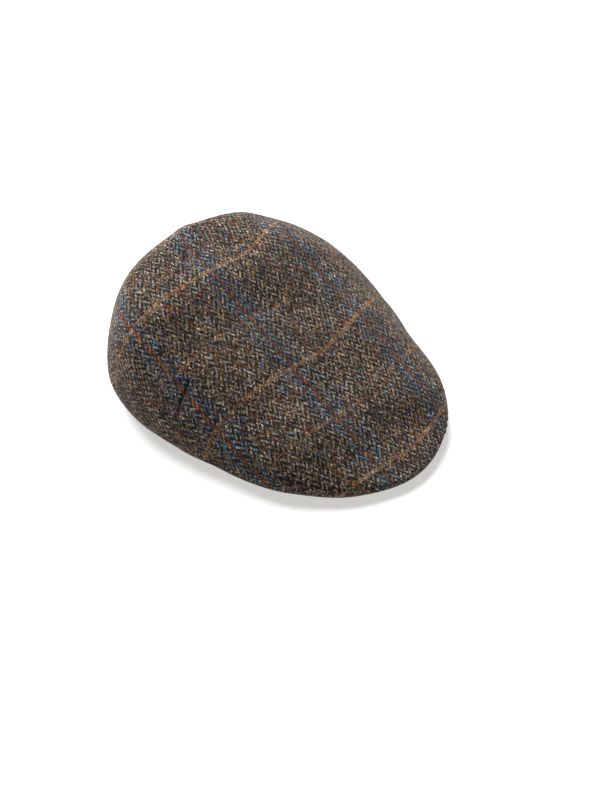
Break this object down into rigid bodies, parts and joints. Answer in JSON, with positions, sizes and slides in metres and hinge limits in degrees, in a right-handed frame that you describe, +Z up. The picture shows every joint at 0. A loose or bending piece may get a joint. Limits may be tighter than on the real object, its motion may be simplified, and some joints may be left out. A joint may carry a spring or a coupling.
{
  "type": "tweed duckbill cap",
  "caption": "Soft duckbill cap in herringbone tweed: a rounded crown that slopes forward over a short firm peak, open below for the head.",
  "frame": {"origin": "on the surface that the cap rests on, under the middle of its outline", "axes": "-Y towards the tip of the peak, +Y towards the back of the head, +X to the right of someone who looks along +Y, +Z up"},
  "size_m": [0.2127, 0.2654, 0.0887],
  "materials": {
    "crown_tweed": "fuzzy wool herringbone tweed, brown and grey with rust and ochre checks",
    "peak_tweed": "the same tweed, drawn tight over the firm peak"
  },
  "bodies": {
    "root": {"crown": "crown_tweed", "peak": "peak_tweed"}
  },
  "joints": []
}
